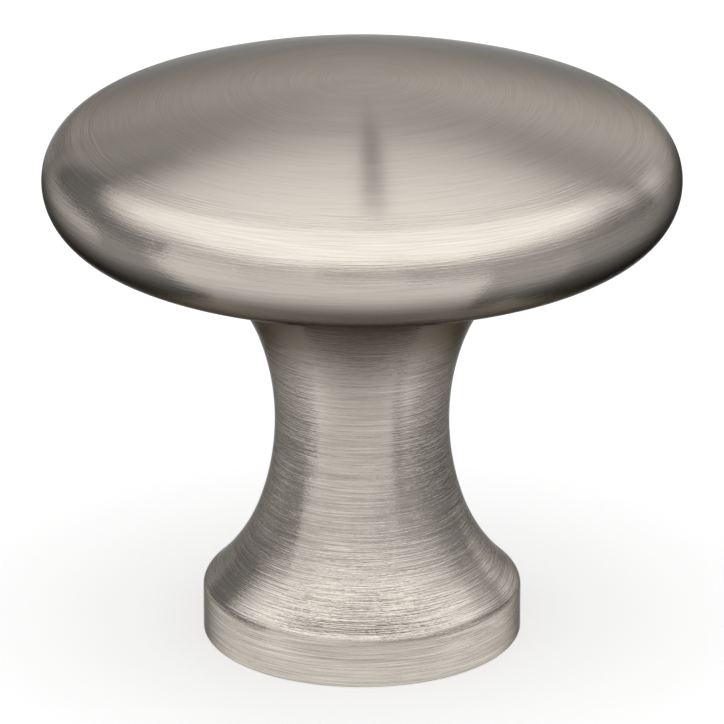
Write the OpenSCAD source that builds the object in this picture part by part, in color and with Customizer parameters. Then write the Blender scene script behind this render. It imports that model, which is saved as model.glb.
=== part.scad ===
// Cabinet knob with a domed round head on a waisted neck, cast and turned in one piece of metal.
// The origin is the centre of the flat face that sits on the door. +Z runs along the knob's
// axis, away from the door.
//
// The outline is a chain of arcs, each tangent to the next. From the door outwards it has the
// foot's edge, the foot's flare, the waist below and above its narrowest point, the flare under
// the head, the rim and the dome. The neck's radii are worked out from the sizes below, so the
// outline stays smooth when one of them changes.

/* [Head] */
// Diameter of the head across the rim
head_d = 31.75; // [27:0.25:36]
// Height from the door to the top of the dome
knob_h = 29.3; // [27:0.1:34]
// Radius of the rounded rim
rim_r = 2.7; // [1.6:0.1:4]
// Radius of the domed face
dome_r = 38.5; // [26:0.5:90]

/* [Neck] */
// Diameter of the neck at its narrowest point
waist_d = 8.75; // [7.5:0.05:10.5]
// Height of the narrowest point above the door
waist_z = 11.3; // [9.5:0.1:13]
// Degrees that the waist's arc turns before the flare under the head takes over
head_turn = 20; // [10:1:35]
// Degrees that the waist's arc turns before the foot's flare takes over
foot_turn = 19; // [10:1:24]

/* [Foot] */
// Diameter of the foot, where it sits on the door
foot_d = 16; // [14:0.25:19]
// Height of the foot's upright band
band_h = 2.25; // [1:0.05:3.5]
// Radius of the soft edge between the band and the flare
foot_edge_r = 0.7; // [0.2:0.05:1.2]
// Degrees that the flare leans out from the axis where it meets the soft edge
foot_lean = 47.5; // [43:0.5:60]

/* [Screw hole] */
// Diameter of the hole in the foot, drilled to be tapped for an M4 screw
tap_d = 3.3; // [2.5:0.1:4.2]
// Depth of the hole's full diameter
tap_depth = 12; // [7:0.5:15]
// Diameter of the countersunk mouth at the door
mouth_d = 4.5; // [4.3:0.1:6.5]
// Angle of the drill's point, left at the blind end
drill_point = 118; // [90:1:140]

/* [Hidden] */
$fn = 180;

// Brushed nickel, a warm grey
nickel = "#b4aca0";

// An arc is drawn with steps no wider than this angle and no longer than this length
step_deg = 3;
step_len = 0.7;

// How far a cutter starts outside the face that it cuts
clear = 1;

// The rim's arc has its centre where it is tangent to the dome from inside
dome_centre = [0, knob_h - dome_r];
rim_x = head_d / 2 - rim_r;
rim_centre = [rim_x, dome_centre.y + sqrt((dome_r - rim_r) ^ 2 - rim_x ^ 2)];
rim_top_deg = atan2(rim_centre.y - dome_centre.y, rim_x);
underside_z = rim_centre.y - rim_r;

// Two tangent arcs take the neck from upright at the waist to level under the head
over_w = rim_x - waist_d / 2;
over_h = underside_z - waist_z;
head_flare_r = (over_w * sin(head_turn) - over_h * (1 - cos(head_turn)))
    / (sin(head_turn) + cos(head_turn) - 1);
waist_top_r = head_flare_r + (over_h - head_flare_r) / sin(head_turn);

// Two tangent arcs take it from upright at the waist to foot_lean at the foot's soft edge
edge_centre = [foot_d / 2 - foot_edge_r, band_h];
foot_meet = edge_centre + foot_edge_r * [cos(foot_lean), sin(foot_lean)];
under_w = foot_meet.x - waist_d / 2;
under_h = waist_z - foot_meet.y;
share = sin(foot_turn) * (1 - cos(foot_lean)) - sin(foot_lean) * (1 - cos(foot_turn));
foot_flare_r = (under_w * sin(foot_turn) - under_h * (1 - cos(foot_turn))) / share;
waist_low_r = foot_flare_r + (under_h * (1 - cos(foot_lean)) - under_w * sin(foot_lean)) / share;

// Centres of the neck's four arcs, outside the metal
waist_top_centre = [waist_d / 2 + waist_top_r, waist_z];
head_flare_centre = [rim_x, underside_z - head_flare_r];
waist_low_centre = [waist_d / 2 + waist_low_r, waist_z];
foot_flare_centre = foot_meet + foot_flare_r * [cos(foot_lean), sin(foot_lean)];

// Points along an arc from one angle up to, but not including, another
function arc(centre, r, from, to) =
    let (turn = abs(to - from))
    let (steps = ceil(max(turn / step_deg, turn * PI / 180 * r / step_len)))
    [for (i = [0:steps - 1]) let (a = from + (to - from) * i / steps) centre + r * [cos(a), sin(a)]];

// Half section of the knob, from the axis at the door round to the top of the dome
module outline() {
    polygon(concat(
        [[0, 0], [foot_d / 2, 0]],
        arc(edge_centre, foot_edge_r, 0, foot_lean),
        arc(foot_flare_centre, foot_flare_r, 180 + foot_lean, 180 + foot_turn),
        arc(waist_low_centre, waist_low_r, 180 + foot_turn, 180),
        arc(waist_top_centre, waist_top_r, 180, 180 - head_turn),
        arc(head_flare_centre, head_flare_r, 180 - head_turn, 90),
        arc(rim_centre, rim_r, -90, rim_top_deg),
        arc(dome_centre, dome_r, rim_top_deg, 90),
        [[0, knob_h]]
    ));
}

// Half section of the blind screw hole, with its countersunk mouth and drilled end
module hole_outline() {
    sink_h = (mouth_d - tap_d) / 2;
    point_h = tap_d / 2 / tan(drill_point / 2);
    polygon([
        [0, -clear],
        [mouth_d / 2 + clear, -clear],
        [tap_d / 2, sink_h],
        [tap_d / 2, tap_depth],
        [0, tap_depth + point_h]
    ]);
}

module knob() {
    color(nickel) difference() {
        rotate_extrude() outline();
        rotate_extrude() hole_outline();
    }
}

knob();
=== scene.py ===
"""Cabinet knob in brushed nickel: a low domed head on a waisted neck and a flat foot.

The knob stands for the CAD node of the same name. It is one turned surface, from the top of
the dome down the outside, over the foot's flat face and up into the tapped screw hole.
Lengths are in metres.
"""

from math import atan2, ceil, cos, degrees, pi, radians, sin, sqrt, tan

import bpy
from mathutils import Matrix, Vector


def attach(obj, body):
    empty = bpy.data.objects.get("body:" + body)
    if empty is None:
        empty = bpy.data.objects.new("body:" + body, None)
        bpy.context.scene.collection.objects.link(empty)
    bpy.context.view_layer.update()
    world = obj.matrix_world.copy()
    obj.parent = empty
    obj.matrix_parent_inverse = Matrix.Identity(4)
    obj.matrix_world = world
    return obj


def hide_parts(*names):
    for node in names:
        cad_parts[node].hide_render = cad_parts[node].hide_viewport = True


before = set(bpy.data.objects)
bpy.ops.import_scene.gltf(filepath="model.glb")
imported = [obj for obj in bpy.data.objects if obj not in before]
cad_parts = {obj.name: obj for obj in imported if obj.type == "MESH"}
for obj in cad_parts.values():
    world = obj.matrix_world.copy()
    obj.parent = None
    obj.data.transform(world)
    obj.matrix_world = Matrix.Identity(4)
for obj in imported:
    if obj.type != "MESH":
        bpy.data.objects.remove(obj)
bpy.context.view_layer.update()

MM = 0.001

# Sizes of the turned outline, the same as in the part's source
HEAD_D = 31.75 * MM
KNOB_H = 29.3 * MM
RIM_R = 2.7 * MM
DOME_R = 38.5 * MM
WAIST_D = 8.75 * MM
WAIST_Z = 11.3 * MM
HEAD_TURN = 20
FOOT_TURN = 19
FOOT_D = 16 * MM
BAND_H = 2.25 * MM
FOOT_EDGE_R = 0.7 * MM
FOOT_LEAN = 47.5
TAP_D = 3.3 * MM
TAP_DEPTH = 12 * MM
MOUTH_D = 4.5 * MM
DRILL_POINT = 118

# The foot's lower edge is broken with a small round, as a turned part's edges are
BROKEN_EDGE = 0.12 * MM

# The tapped thread: pitch, depth of its groove, and how far from each end of the plain
# wall it fades in and out
PITCH = 0.7 * MM
GROOVE = 0.38 * MM
RUN_OUT = 1.1 * MM

# Points round the axis, and the widest step along an arc of the outline
ROUND = 240
STEP_DEG = 2
STEP_LEN = 0.35 * MM

# Points of the thread closer than this to the end of its wall lie on that end
AT_END = 1e-7

# An edge is drawn crisp where its two faces turn by more than this many degrees
CRISP_DEG = 32

# Brush lines: how far apart they are, how long the long and the short ones are, and how
# deep they are on the foot. Real ones are about 0.02 mm apart, too fine to show here, so
# these are drawn about twice as coarse.
LINE_GAP = 0.045 * MM
LONG_LINE = 3 * MM
SHORT_LINE = 0.2 * MM
LINE_DEPTH = 0.032 * MM

# Patches where the plate came out a little smoother or rougher
PATCH_GAP = 1.1 * MM
PATCH_LENGTH = 8 * MM
SMOOTH_PLATE = 0.15
ROUGH_PLATE = 0.19

# Tones of the plate: in a dark line and in a light line, and a painted shade in the hollow under
# the head, where shade falls
DARK_LINE = "#A8A198"
LIGHT_LINE = "#F2EADF"
PAINTED_HOLLOW_SHADE = "#7C756C"

# Noise runs from 0 to 1, and most of it lies between these two
NOISE_LOW = 0.3
NOISE_HIGH = 0.7

# The camera stands where the photo's ellipses put it, and looks down by this angle. The
# lens is long: it is given here as widths of the sensor, whose width is in millimetres.
CAMERA_PLACE = (0, -0.373667, 0.161742)
CAMERA_DOWN = 21.541
SENSOR = 36
LENS = 11.109

# White that the floor's paint adds for the eye and for reflections
FLOOR_LIFT = 0.4


def arc(centre, radius, start, end):
    """Points along an arc between two angles in degrees, without the last."""
    turn = abs(end - start)
    steps = ceil(max(turn / STEP_DEG, radians(turn) * radius / STEP_LEN))
    angles = [radians(start + (end - start) * n / steps) for n in range(steps)]
    return [(centre[0] + radius * cos(a), centre[1] + radius * sin(a)) for a in angles]


def outside():
    """Half section of the outside, from the foot's flat face up to the top of the dome."""
    dome_z = KNOB_H - DOME_R
    rim_x = HEAD_D / 2 - RIM_R
    rim_z = dome_z + sqrt((DOME_R - RIM_R) ** 2 - rim_x**2)
    rim_top = degrees(atan2(rim_z - dome_z, rim_x))
    underside = rim_z - RIM_R

    # Two tangent arcs take the neck from upright at the waist to level under the head
    head_sin, head_cos = sin(radians(HEAD_TURN)), cos(radians(HEAD_TURN))
    over_w = rim_x - WAIST_D / 2
    over_h = underside - WAIST_Z
    head_flare = (over_w * head_sin - over_h * (1 - head_cos)) / (head_sin + head_cos - 1)
    waist_top = head_flare + (over_h - head_flare) / head_sin

    # Two more take it down to the lean at which the flare meets the foot's soft edge
    foot_sin, foot_cos = sin(radians(FOOT_TURN)), cos(radians(FOOT_TURN))
    lean_sin, lean_cos = sin(radians(FOOT_LEAN)), cos(radians(FOOT_LEAN))
    edge_x = FOOT_D / 2 - FOOT_EDGE_R
    meet_x = edge_x + FOOT_EDGE_R * lean_cos
    meet_z = BAND_H + FOOT_EDGE_R * lean_sin
    under_w = meet_x - WAIST_D / 2
    under_h = WAIST_Z - meet_z
    share = foot_sin * (1 - lean_cos) - lean_sin * (1 - foot_cos)
    foot_flare = (under_w * foot_sin - under_h * (1 - foot_cos)) / share
    waist_low = foot_flare + (under_h * (1 - lean_cos) - under_w * lean_sin) / share

    flare_centre = (meet_x + foot_flare * lean_cos, meet_z + foot_flare * lean_sin)
    broken_x = FOOT_D / 2 - BROKEN_EDGE
    return (
        arc((broken_x, BROKEN_EDGE), BROKEN_EDGE, -90, 0)
        + [(FOOT_D / 2, BROKEN_EDGE)]
        + arc((edge_x, BAND_H), FOOT_EDGE_R, 0, FOOT_LEAN)
        + arc(flare_centre, foot_flare, 180 + FOOT_LEAN, 180 + FOOT_TURN)
        + arc((WAIST_D / 2 + waist_low, WAIST_Z), waist_low, 180 + FOOT_TURN, 180)
        + arc((WAIST_D / 2 + waist_top, WAIST_Z), waist_top, 180, 180 - HEAD_TURN)
        + arc((rim_x, underside - head_flare), head_flare, 180 - HEAD_TURN, 90)
        + arc((rim_x, rim_z), RIM_R, -90, rim_top)
        + arc((0, dome_z), DOME_R, rim_top, 90)
    )


def ring(points, radius, z):
    """Add one ring of points round the axis and return their numbers."""
    first = len(points)
    for n in range(ROUND):
        angle = 2 * pi * n / ROUND
        points.append((radius * cos(angle), radius * sin(angle), z))
    return list(range(first, first + ROUND))


def join(faces, lower, upper):
    """Faces between two rings; where the rings share a point the face is a triangle."""
    for n in range(ROUND):
        m = (n + 1) % ROUND
        corners = []
        for corner in (lower[n], lower[m], upper[m], upper[n]):
            if corner not in corners:
                corners.append(corner)
        if len(corners) > 2:
            faces.append(corners)


def close(faces, edge, tip):
    """Faces from a ring to a single point on the axis."""
    for n in range(ROUND):
        faces.append((edge[n], edge[(n + 1) % ROUND], tip))


def thread(points, faces, low_z, high_z):
    """The tapped wall between two heights, and the rings at its two ends.

    Its rows of points climb with the thread, so each row keeps to one place on the
    thread's section: a flat crest, a slope out to the root, a flat root and a slope back.
    """
    section = [(0.0, 0.0), (0.22, 0.0), (0.44, 1.0), (0.62, 1.0), (0.84, 0.0)]
    rows = len(section)
    low = ring(points, TAP_D / 2, low_z)
    high = ring(points, TAP_D / 2, high_z)
    turns = ceil((high_z - low_z) / PITCH) + 1

    numbers = {}
    for row in range(-rows, turns * rows + 1):
        along, out = section[row % rows]
        for n in range(ROUND):
            z = low_z + (row // rows + along + n / ROUND) * PITCH
            if z <= low_z + AT_END:
                numbers[row, n] = low[n]
            elif z >= high_z - AT_END:
                numbers[row, n] = high[n]
            else:
                fade = min(1, (z - low_z) / RUN_OUT, (high_z - z) / RUN_OUT)
                radius = TAP_D / 2 + GROOVE * out * fade
                angle = 2 * pi * n / ROUND
                numbers[row, n] = len(points)
                points.append((radius * cos(angle), radius * sin(angle), z))

    # After a whole turn a row meets the row one pitch above it
    for n in range(ROUND):
        for row in range(-rows, turns * rows):
            m, lift = (n + 1, 0) if n + 1 < ROUND else (0, rows)
            if row + lift + 1 > turns * rows:
                continue
            corners = []
            for corner in (
                numbers[row, n],
                numbers[row + 1, n],
                numbers[row + lift + 1, m],
                numbers[row + lift, m],
            ):
                if corner not in corners:
                    corners.append(corner)
            if len(corners) > 2:
                faces.append(corners)
    return low, high


def build_knob():
    """The whole knob as one closed mesh."""
    points = []
    faces = []

    outline = outside()
    rings = [ring(points, x, z) for x, z in outline]
    for lower, upper in zip(rings, rings[1:]):
        join(faces, lower, upper)
    top = len(points)
    points.append((0, 0, KNOB_H))
    close(faces, rings[-1], top)

    sink_h = (MOUTH_D - TAP_D) / 2
    mouth = ring(points, MOUTH_D / 2, 0)
    join(faces, mouth, rings[0])
    low, high = thread(points, faces, sink_h, TAP_DEPTH)
    join(faces, low, mouth)
    blind = len(points)
    points.append((0, 0, TAP_DEPTH + TAP_D / 2 / tan(radians(DRILL_POINT / 2))))
    for n in range(ROUND):
        faces.append((high[(n + 1) % ROUND], high[n], blind))

    mesh = bpy.data.meshes.new("knob_turned")
    mesh.from_pydata(points, [], faces)
    mesh.validate()
    mesh.shade_smooth()
    mesh.set_sharp_from_angle(angle=radians(CRISP_DEG))
    made = bpy.data.objects.new("knob_turned", mesh)
    bpy.context.scene.collection.objects.link(made)
    return made


def linear(code):
    """An sRGB hex colour as linear red, green, blue and alpha."""
    parts = [int(code[n : n + 2], 16) / 255 for n in (1, 3, 5)]
    return [p / 12.92 if p <= 0.04045 else ((p + 0.055) / 1.055) ** 2.4 for p in parts] + [1]


def add(tree, kind, inputs=(), **settings):
    """Add a node with its settings and links.

    Its inputs are a list in the node's own order, or a dictionary by name or number. Each
    one is a value, another node's output, or another node, which stands for its first output.
    """
    made = tree.nodes.new("ShaderNode" + kind)
    for name, value in settings.items():
        setattr(made, name, value)
    named = inputs.items() if isinstance(inputs, dict) else enumerate(inputs)
    for name, value in named:
        if isinstance(value, bpy.types.Node):
            value = value.outputs[0]
        if isinstance(value, bpy.types.NodeSocket):
            tree.links.new(value, made.inputs[name])
        else:
            made.inputs[name].default_value = value
    return made


def new_material(name):
    """An empty material with its output node."""
    made = bpy.data.materials.new(name)
    made.use_nodes = True
    made.node_tree.nodes.clear()
    return made, made.node_tree, made.node_tree.nodes.new("ShaderNodeOutputMaterial")


def brushed_nickel():
    """Satin nickel plate on cast metal, brushed in rings while the knob turned.

    The brushing spreads a highlight from the apex outward like a fan, keeps it narrow round
    the axis, and breaks the edge of each reflection into short streaks.
    """
    made, tree, out = new_material("brushed_nickel")
    spot = add(tree, "TexCoord").outputs["Object"]
    x, y, z = add(tree, "SeparateXYZ", [spot]).outputs
    flat = add(tree, "CombineXYZ", [x, y])
    radius = add(tree, "VectorMath", [flat], operation="LENGTH").outputs["Value"]
    smooth = {"interpolation_type": "SMOOTHSTEP"}

    def lines(gap, length):
        """Noise drawn out into rings: how far apart its lines are, and how long each one is."""
        across = add(tree, "Math", [radius, 1 / gap], operation="MULTIPLY")
        up = add(tree, "Math", [z, 1 / gap], operation="MULTIPLY")
        along_x = add(tree, "Math", [x, 1 / length], operation="MULTIPLY")
        along_y = add(tree, "Math", [y, 1 / length], operation="MULTIPLY")
        place = add(tree, "CombineXYZ", [across, up, along_x])
        noise = {"Vector": place, "W": along_y, "Scale": 1.0, "Detail": 1.0, "Roughness": 0.5}
        return add(tree, "TexNoise", noise, noise_dimensions="4D")

    long_lines = lines(LINE_GAP, LONG_LINE)
    short_lines = lines(LINE_GAP, SHORT_LINE)
    patches = lines(PATCH_GAP, PATCH_LENGTH)
    grooves = add(tree, "Mix", {0: 0.35, 2: long_lines, 3: short_lines})

    # The lines are deepest on the foot, less so up the neck and rim, and finest on the dome
    coarse = add(tree, "MapRange", [z, 9 * MM, 24 * MM, 1, 0.5], **smooth)
    past_dome = add(tree, "MapRange", [radius, 13.1 * MM, 13.3 * MM, 0.1, 1], **smooth)
    below_head = add(tree, "MapRange", [z, 21 * MM, 22 * MM, 1, 0.1])
    off_dome = add(tree, "Math", [past_dome, below_head], operation="MAXIMUM")
    coarse = add(tree, "Math", [coarse, off_dome], operation="MULTIPLY")
    depth = add(tree, "Math", [coarse, LINE_DEPTH], operation="MULTIPLY")
    relief = add(tree, "Bump", {"Strength": 1.0, "Distance": depth, "Height": grooves})
    rough = [patches, NOISE_LOW, NOISE_HIGH, SMOOTH_PLATE, ROUGH_PLATE]

    # Coarse lines also differ more in tone
    tone = add(tree, "Math", [coarse, coarse], operation="MULTIPLY")
    tone = add(tree, "Math", [tone, 0.5, 0.12], operation="MULTIPLY_ADD")
    streak = add(tree, "Math", [long_lines, 0.5], operation="SUBTRACT")
    spread = 1 / (NOISE_HIGH - NOISE_LOW)
    streak = add(tree, "Math", [streak, spread], operation="MULTIPLY")
    streak = add(tree, "Math", [streak, tone, 0.5], operation="MULTIPLY_ADD")
    shade = {0: streak, 6: linear(DARK_LINE), 7: linear(LIGHT_LINE)}
    shade = add(tree, "Mix", shade, data_type="RGBA").outputs[2]

    # Painted shade: the colour darkens up the neck into the hollow under the head and over the
    # head's underside, where shade falls
    above_waist = add(tree, "MapRange", [z, 13.2 * MM, 17.5 * MM, 0, 1], **smooth)
    below_rim = add(tree, "MapRange", [z, 22.5 * MM, 24 * MM, 1, 0], **smooth)
    painted_shade_mask = add(tree, "Math", [above_waist, below_rim], operation="MULTIPLY")
    plate_and_painted_shade = {0: painted_shade_mask, 6: shade, 7: linear(PAINTED_HOLLOW_SHADE)}
    plate_and_painted_shade = add(tree, "Mix", plate_and_painted_shade, data_type="RGBA").outputs[2]

    # The sheen is drawn out across the rings that the brush left
    metal = {
        "Base Color": plate_and_painted_shade,
        "Metallic": 1.0,
        "Roughness": add(tree, "MapRange", rough),
        "Specular Tint": (0.2, 0.2, 0.2, 1),
        "Anisotropic": 0.93,
        "Anisotropic Rotation": 0.25,
        "Tangent": add(tree, "Tangent", direction_type="RADIAL", axis="Z"),
        "Normal": relief,
    }
    metal = add(tree, "BsdfPrincipled", metal)
    tree.links.new(metal.outputs[0], out.inputs["Surface"])
    return made


knob = build_knob()
knob.data.materials.append(brushed_nickel())
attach(knob, "root")
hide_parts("knob")

scene = bpy.context.scene
scene.view_settings.view_transform = "Standard"

camera = bpy.data.objects.new("camera", bpy.data.cameras.new("camera"))
camera.location = CAMERA_PLACE
camera.rotation_euler = (radians(90 - CAMERA_DOWN), 0, 0)
camera.data.sensor_width = SENSOR
camera.data.lens = SENSOR * LENS
scene.collection.objects.link(camera)
scene.camera = camera


def stage(name, corners, material, seen=True):
    """A flat piece of the set, which isn't part of the knob."""
    mesh = bpy.data.meshes.new(name)
    mesh.from_pydata(corners, [], [list(range(len(corners)))])
    mesh.materials.append(material)
    made = bpy.data.objects.new(name, mesh)
    scene.collection.objects.link(made)
    made.visible_camera = seen
    return made


def softbox(name, middle, face, width, height, level):
    """A rectangular lamp centred at one point and facing another; level 1 looks white."""
    lamp = bpy.data.lights.new(name, "AREA")
    lamp.shape = "RECTANGLE"
    lamp.size = width
    lamp.size_y = height
    lamp.energy = level * width * height * pi
    made = bpy.data.objects.new(name, lamp)
    made.location = middle
    made.rotation_euler = (Vector(middle) - Vector(face)).to_track_quat("Z", "Y").to_euler()
    made.visible_camera = False
    scene.collection.objects.link(made)


def matt_paint():
    """Pale matt paint for the floor: it spreads the lamps' light evenly and looks white.

    The paint is lit by the lamps, so it keeps the knob's shadow. The rest of white is added
    for the camera and for reflections.
    """
    made, tree, out = new_material("matt_paint")
    ray = add(tree, "LightPath").outputs
    seen = add(tree, "Math", [ray["Is Camera Ray"], ray["Is Glossy Ray"]], operation="ADD")
    seen = add(tree, "Math", [seen, ray["Is Transmission Ray"]], operation="ADD")
    lift = add(tree, "Math", [seen, FLOOR_LIFT], operation="MULTIPLY")
    glow = add(tree, "Emission", {"Strength": lift})
    matt = add(tree, "BsdfDiffuse", {"Color": linear("#DADADA")})
    both = add(tree, "AddShader", [glow, matt])
    tree.links.new(both.outputs[0], out.inputs["Surface"])
    return made


def grey_felt(name, code):
    """Matt grey felt on a card, which shows no sheen and darkens what reflects it."""
    made, tree, out = new_material("felt_" + name)
    matt = add(tree, "BsdfDiffuse", {"Color": linear(code)})
    tree.links.new(matt.outputs[0], out.inputs["Surface"])
    return made


def studio():
    """Soft light all round: a bright ceiling, a grey front, a low glow behind, dim sides.

    A strength of 1 looks white. Directions have x to the right, y to the back and z up.
    """
    made = bpy.data.worlds.new("studio")
    made.use_nodes = True
    tree = made.node_tree
    way = add(tree, "TexCoord").outputs["Generated"]
    x, y, z = add(tree, "SeparateXYZ", [way]).outputs

    def toward(axis, start, end, low, high):
        """Level that rises as the direction comes round to an axis."""
        turn = add(tree, "VectorMath", [way, axis], operation="DOT_PRODUCT").outputs["Value"]
        return add(tree, "MapRange", [turn, start, end, low, high])

    # The ceiling light starts a little higher at the front and sides, and much higher behind
    behind = add(tree, "Math", [y, 0.0], operation="MAXIMUM")
    behind = add(tree, "Math", [behind, behind], operation="MULTIPLY")
    rise = add(tree, "Math", [behind, -0.5, z], operation="MULTIPLY_ADD")
    ahead = add(tree, "Math", [y, 0.0], operation="MINIMUM")
    rise = add(tree, "Math", [ahead, 0.05, rise], operation="MULTIPLY_ADD")
    side = add(tree, "Math", [x], operation="ABSOLUTE")
    rise = add(tree, "Math", [side, -0.04, rise], operation="MULTIPLY_ADD")
    edge = add(tree, "MapRange", [rise, 0.30, 0.46, 0.14, 0.8])
    middle = add(tree, "MapRange", [rise, 0.46, 0.60, 0, 0.18])
    ceiling = add(tree, "Math", [edge, middle], operation="ADD")

    # The front is lightest a little to the right of the camera, and lifts the ceiling too
    front = toward((0.259, -0.966, 0), -0.3, 1, 0.14, 0.5)
    level = add(tree, "Math", [front, 0.45, ceiling], operation="MULTIPLY_ADD")

    # Behind are a grey wall with a glow low down on it, and two soft lights at the right
    wall = toward((0.139, 0.99, 0), 0.62, 0.76, 0, 0.46)
    glow = toward((0.139, 0.99, 0), 0.72, 1, 0, 1.2)
    right_low = toward((0.634, 0.729, 0.259), 0.955, 0.996, 0, 0.85)
    right_high = toward((0.742, 0.446, 0.5), 0.955, 0.998, 0, 0.78)
    for part in (front, wall, glow, right_low, right_high):
        level = add(tree, "Math", [level, part], operation="MAXIMUM")
    tree.links.new(level.outputs[0], tree.nodes["Background"].inputs["Strength"])
    tree.nodes["Background"].inputs["Color"].default_value = (1, 1, 1, 1)
    return made


scene.world = studio()

stage("floor", [(-4, -4, 0), (4, -4, 0), (4, 4, 0), (-4, 4, 0)], matt_paint())

# Felt cards lie just above the floor and just outside the picture, as a photographer sets
# them. Each has its felt's colour and its corners.
CARD_Z = 0.0001
CARDS = {
    "near_card": (
        "#C8C8C8",
        [(-0.0195, -0.0132), (-0.026, -0.02), (0.0155, -0.02), (0.0105, -0.0132)],
    ),
    "middle_card": (
        "#D8D8D8",
        [(-0.026, -0.02), (-0.05, -0.034), (0.0265, -0.034), (0.0155, -0.02)],
    ),
    "front_card": (
        "#E4E4E4",
        [
            (-0.05, -0.034),
            (-0.026, -0.02),
            (-1.2, -0.18),
            (-1.2, -1.2),
            (1.2, -1.2),
            (0.0265, -0.034),
        ],
    ),
    "near_right_front_card": (
        "#848484",
        [(0.0105, -0.0132), (0.0155, -0.02), (0.0265, -0.034), (0.05, -0.0173), (0.0195, -0.0132)],
    ),
    "right_front_card": (
        "#B0B0B0",
        [(0.0265, -0.034), (1.2, -1.2), (1.2, -0.17), (0.05, -0.0173)],
    ),
    "near_right_card": (
        "#6C6C6C",
        [(0.0195, -0.0132), (0.055, -0.0179), (0.06, 0.04), (0.04, 0.1056), (0.0245, 0.085)],
    ),
    "right_card": (
        "#9A9A9A",
        [(0.055, -0.0179), (1.2, -0.17), (1.2, 0.85), (0.6, 0.85), (0.04, 0.1056), (0.06, 0.04)],
    ),
    "right_pale_card": ("#D8D8D8", [(0.0245, 0.085), (0.6, 0.85), (0.6, 1.2), (0.5, 1.2)]),
    "near_left_card": (
        "#7C7C7C",
        [
            (-0.0195, -0.0132),
            (-0.0245, 0.085),
            (-0.04, 0.085),
            (-0.055, 0.035),
            (-0.048, -0.024),
            (-0.026, -0.02),
        ],
    ),
    "left_card": (
        "#A0A0A0",
        [
            (-0.055, 0.035),
            (-0.04, 0.085),
            (-0.05, 0.085),
            (-0.085, 0.055),
            (-0.1, 0.012),
            (-0.19, 0.04),
            (-1.2, 0.5),
            (-1.2, -0.18),
            (-0.048, -0.024),
        ],
    ),
    "left_pale_card": (
        "#D8D8D8",
        [
            (-0.05, 0.085),
            (-0.64, 1.2),
            (-1.2, 1.2),
            (-1.2, 0.5),
            (-0.19, 0.04),
            (-0.1, 0.012),
            (-0.085, 0.055),
        ],
    ),
}
for name, (code, corners) in CARDS.items():
    raised = [(x, y, CARD_Z) for x, y in corners]
    card = stage(name, raised, grey_felt(name, code), seen=False)
    # Only reflections see a card, so that the floor under it stays pale from every side
    card.visible_diffuse = False
    card.visible_shadow = False

# A narrow flag across the ceiling light gives the dome its dark stripe
FLAG = [(0, 0.58, 1), (0.045, 0.58, 1), (0.045, 1.12, 1), (0, 1.12, 1)]
stage("flag", FLAG, grey_felt("flag", "#A8A8A8"), seen=False)

# Lamps: name, middle, the point that each one faces, width, height and level
softbox("ceiling", (0, -0.4, 1), (0, -0.4, 0), 2.2, 1.86, 0.28)
softbox("left_front", (-1.2, -0.835, 0.25), (0, -0.835, 0.25), 0.93, 0.5, 0.48)
softbox("front_left", (-0.775, -1.3, 0.33), (-0.775, 0, 0.33), 0.85, 0.66, 0.3)
softbox("front_low", (0, -1.3, 0.15), (0, 0, 0.15), 0.7, 0.3, 0.28)
